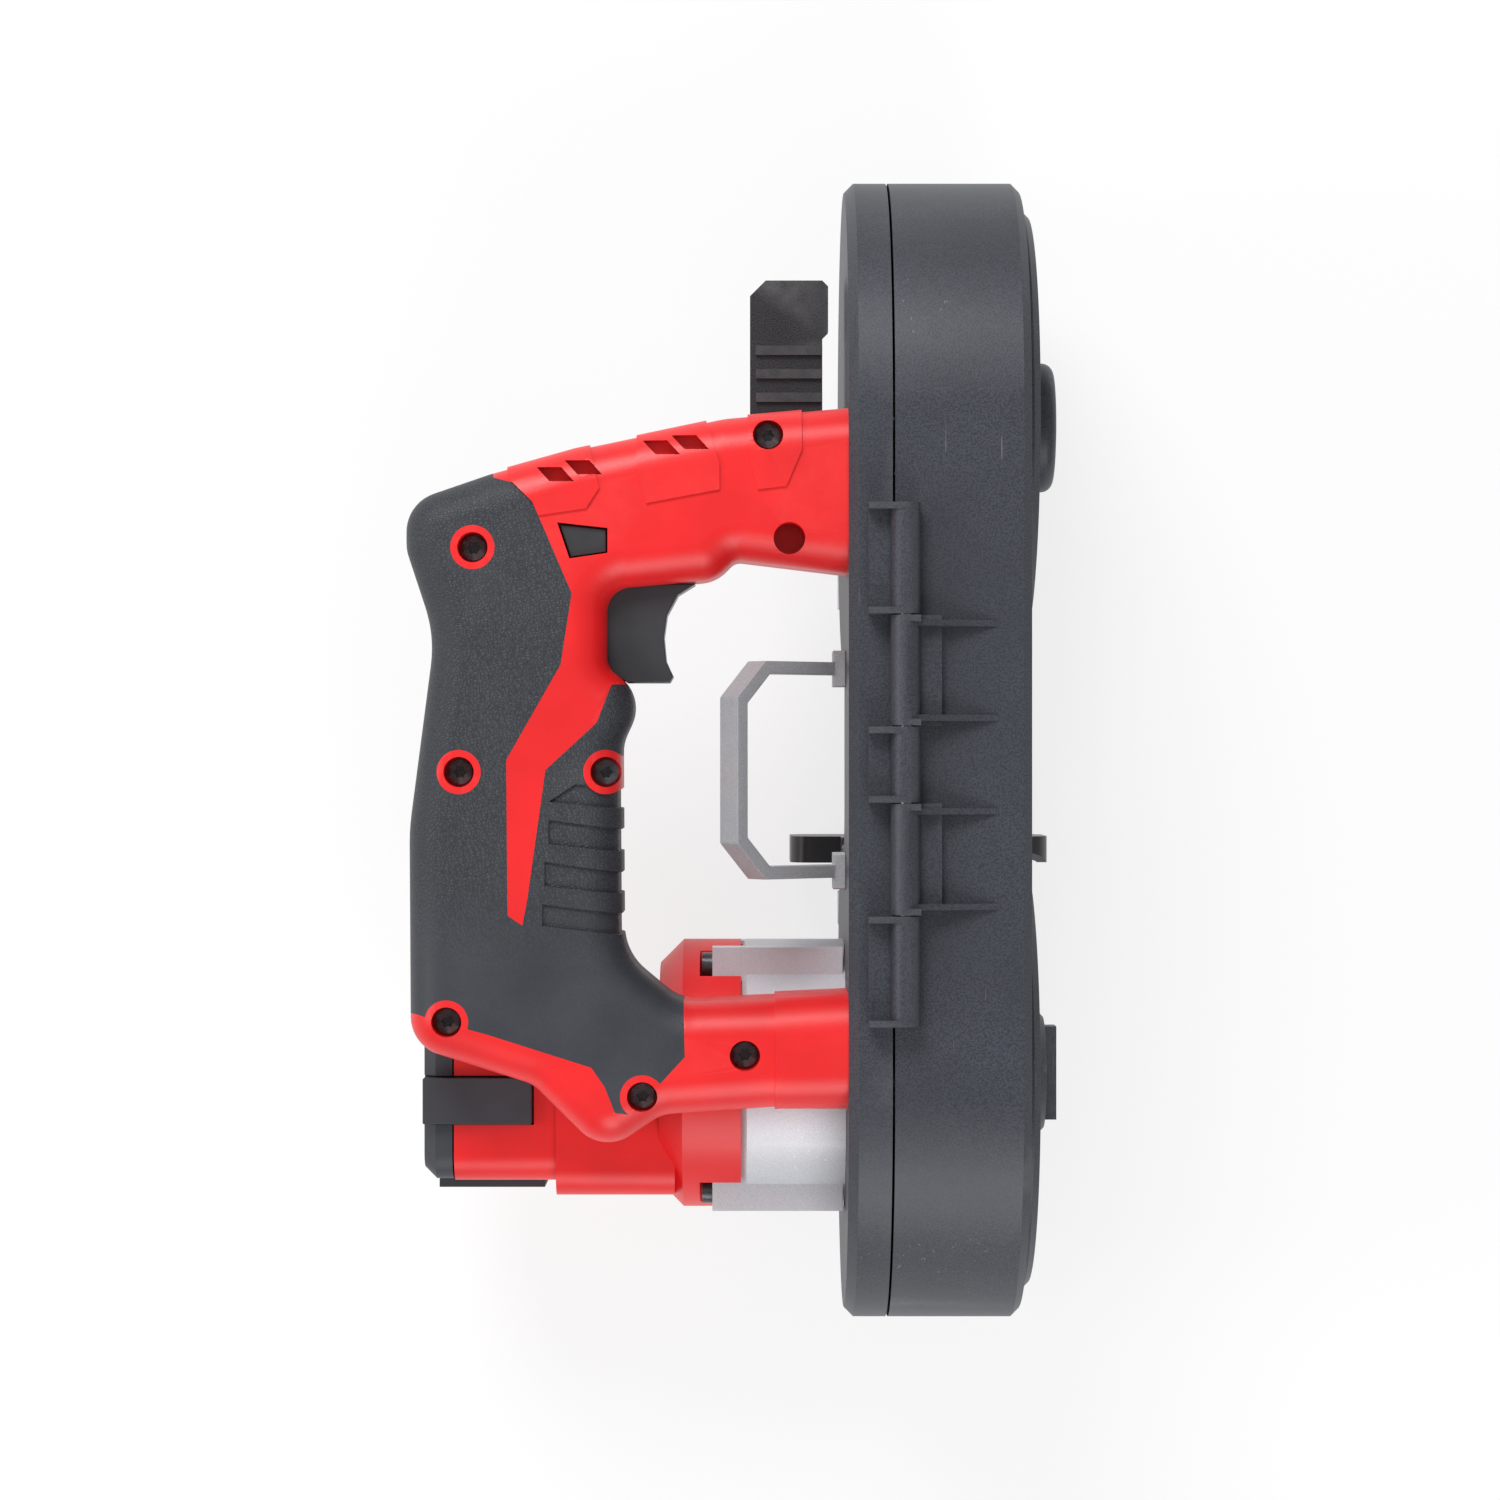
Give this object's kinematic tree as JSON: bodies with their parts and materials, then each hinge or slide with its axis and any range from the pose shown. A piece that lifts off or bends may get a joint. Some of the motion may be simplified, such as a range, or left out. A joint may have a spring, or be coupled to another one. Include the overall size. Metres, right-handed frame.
{
  "type": "portable_band_saw",
  "caption": "Compact cordless portable band saw with a hinged two-wheel guard, a closed red handle with a dark soft grip and a stick battery.",
  "frame": {"origin": "centre of the underside of the bounding box", "axes": "+X from the handle towards the hinged cover, +Y from the drive wheel towards the idler wheel, +Z from the throat up to the hinge"},
  "size_m": [0.1636, 0.2914, 0.1327],
  "materials": {
    "red_plastic": "satin",
    "soft_grip": "matte",
    "guard_grey": "satin",
    "case_silver": "satin",
    "black_plastic": "glossy",
    "battery_dark": "matte",
    "black_steel": "satin",
    "plain_steel": "brushed",
    "blade_steel": "brushed",
    "loop_grey": "satin",
    "tyre_rubber": "matte",
    "wheel_cast": "satin",
    "board_green": "satin"
  },
  "bodies": {
    "saw_body": {"main_frame": "guard_grey", "hinge_pin": "plain_steel", "saw_blade": "blade_steel", "drive_bearing": "plain_steel", "motor_bearing": "plain_steel", "rear_motor_bearing": "plain_steel", "motor_stator": "plain_steel", "gear_case": "case_silver", "motor_housing": "red_plastic", "contact_block": "battery_dark", "handle_near_half": "red_plastic", "handle_far_half": "red_plastic", "grip_near": "soft_grip", "grip_far": "soft_grip", "trigger_switch": "battery_dark", "control_board": "board_green", "handle_screws": "black_steel", "front_roller_pins": "plain_steel", "rear_roller_pins": "plain_steel", "front_guide_bracket": "case_silver", "rear_guide_bracket": "case_silver", "work_shoe": "black_plastic", "throat_loop": "loop_grey", "arm_screws": "black_steel", "case_screws": "black_steel"},
    "guard_cover": {"guard_cover": "guard_grey", "idler_hub_cap": "guard_grey"},
    "cover_knob": {"cover_knob": "guard_grey"},
    "drive": {"drive_shaft": "plain_steel", "drive_wheel": "wheel_cast", "drive_tyre": "tyre_rubber", "drive_wheel_bolt": "plain_steel", "output_gear": "plain_steel"},
    "layshaft": {"layshaft": "plain_steel", "layshaft_gear": "plain_steel"},
    "rotor": {"motor_rotor": "plain_steel"},
    "carriage": {"idler_carriage": "plain_steel", "idler_wheel_bolt": "plain_steel"},
    "idler": {"idler_wheel": "wheel_cast", "idler_tyre": "tyre_rubber", "idler_bearing": "plain_steel"},
    "lever": {"tension_lever": "black_steel"},
    "front_inner_roller": {"front_inner_roller": "plain_steel"},
    "front_outer_roller": {"front_outer_roller": "plain_steel"},
    "rear_inner_roller": {"rear_inner_roller": "plain_steel"},
    "rear_outer_roller": {"rear_outer_roller": "plain_steel"},
    "battery": {"battery_pack": "battery_dark", "battery_cap": "battery_dark"},
    "near_latch": {"near_latch": "battery_dark"},
    "far_latch": {"far_latch": "battery_dark"},
    "trigger": {"trigger": "black_plastic"},
    "lock_button": {"lock_button": "black_plastic"}
  },
  "joints": [
    {"name": "cover_hinge", "type": "hinge", "parent": "saw_body", "child": "guard_cover", "pos_m": [0.03995, 0, 0.12905], "axis": [0, -1, 0], "range_deg": [0, 105]},
    {"name": "cover_knob_turn", "type": "hinge", "parent": "guard_cover", "child": "cover_knob", "pos_m": [0.07065, -0.0832, 0.0625], "axis": [1, 0, 0], "range_deg": [0, 90]},
    {"name": "drive_spin", "type": "hinge", "parent": "saw_body", "child": "drive", "pos_m": [0.04345, -0.0832, 0.0625], "axis": [1, 0, 0], "continuous": true},
    {"name": "layshaft_spin", "type": "hinge", "parent": "saw_body", "child": "layshaft", "pos_m": [0.01345, -0.0832, 0.0457], "axis": [1, 0, 0], "continuous": true},
    {"name": "rotor_spin", "type": "hinge", "parent": "saw_body", "child": "rotor", "pos_m": [-0.00355, -0.0832, 0.0625], "axis": [1, 0, 0], "continuous": true},
    {"name": "carriage_slide", "type": "slide", "parent": "saw_body", "child": "carriage", "axis": [0, -1, 0], "range_m": [0, 0.002]},
    {"name": "idler_spin", "type": "hinge", "parent": "carriage", "child": "idler", "pos_m": [0.04345, 0.0832, 0.0625], "axis": [1, 0, 0], "continuous": true},
    {"name": "lever_swing", "type": "hinge", "parent": "saw_body", "child": "lever", "pos_m": [0.02645, 0.0662, 0.0625], "axis": [-1, 0, 0], "range_deg": [0, 180]},
    {"name": "battery_slide", "type": "slide", "parent": "saw_body", "child": "battery", "axis": [-1, 0, 0], "range_m": [0, 0.06]},
    {"name": "near_latch_press", "type": "slide", "parent": "battery", "child": "near_latch", "axis": [0, 0, -1], "range_m": [0, 0.0015], "stiffness_N_per_m": 800},
    {"name": "far_latch_press", "type": "slide", "parent": "battery", "child": "far_latch", "axis": [0, 0, 1], "range_m": [0, 0.0015], "stiffness_N_per_m": 800},
    {"name": "trigger_pull", "type": "slide", "parent": "saw_body", "child": "trigger", "axis": [-1, 0, 0], "range_m": [0, 0.006], "stiffness_N_per_m": 600},
    {"name": "lock_button_press", "type": "slide", "parent": "saw_body", "child": "lock_button", "axis": [0, 0, -1], "range_m": [0, 0.0035], "stiffness_N_per_m": 500},
    {"name": "front_inner_roller_spin", "type": "hinge", "parent": "saw_body", "child": "front_inner_roller", "pos_m": [0.05465, 0.043, 0.00915], "axis": [0.7071, 0, -0.7071], "continuous": true},
    {"name": "front_outer_roller_spin", "type": "hinge", "parent": "saw_body", "child": "front_outer_roller", "pos_m": [0.04955, 0.043, 0.00405], "axis": [0.7071, 0, -0.7071], "continuous": true},
    {"name": "rear_inner_roller_spin", "type": "hinge", "parent": "saw_body", "child": "rear_inner_roller", "pos_m": [0.05465, -0.043, 0.00915], "axis": [0.7071, 0, -0.7071], "continuous": true},
    {"name": "rear_outer_roller_spin", "type": "hinge", "parent": "saw_body", "child": "rear_outer_roller", "pos_m": [0.04955, -0.043, 0.00405], "axis": [0.7071, 0, -0.7071], "continuous": true}
  ],
  "couplings": [
    {"joint": "layshaft_spin", "follows": "drive_spin", "ratio": -3},
    {"joint": "rotor_spin", "follows": "drive_spin", "ratio": 9},
    {"joint": "idler_spin", "follows": "drive_spin", "ratio": 1},
    {"joint": "lever_swing", "follows": "carriage_slide", "rad_per_m": 1570.8},
    {"joint": "front_inner_roller_spin", "follows": "drive_spin", "ratio": 18.633},
    {"joint": "front_outer_roller_spin", "follows": "drive_spin", "ratio": -18.633},
    {"joint": "rear_inner_roller_spin", "follows": "drive_spin", "ratio": 18.633},
    {"joint": "rear_outer_roller_spin", "follows": "drive_spin", "ratio": -18.633}
  ]
}
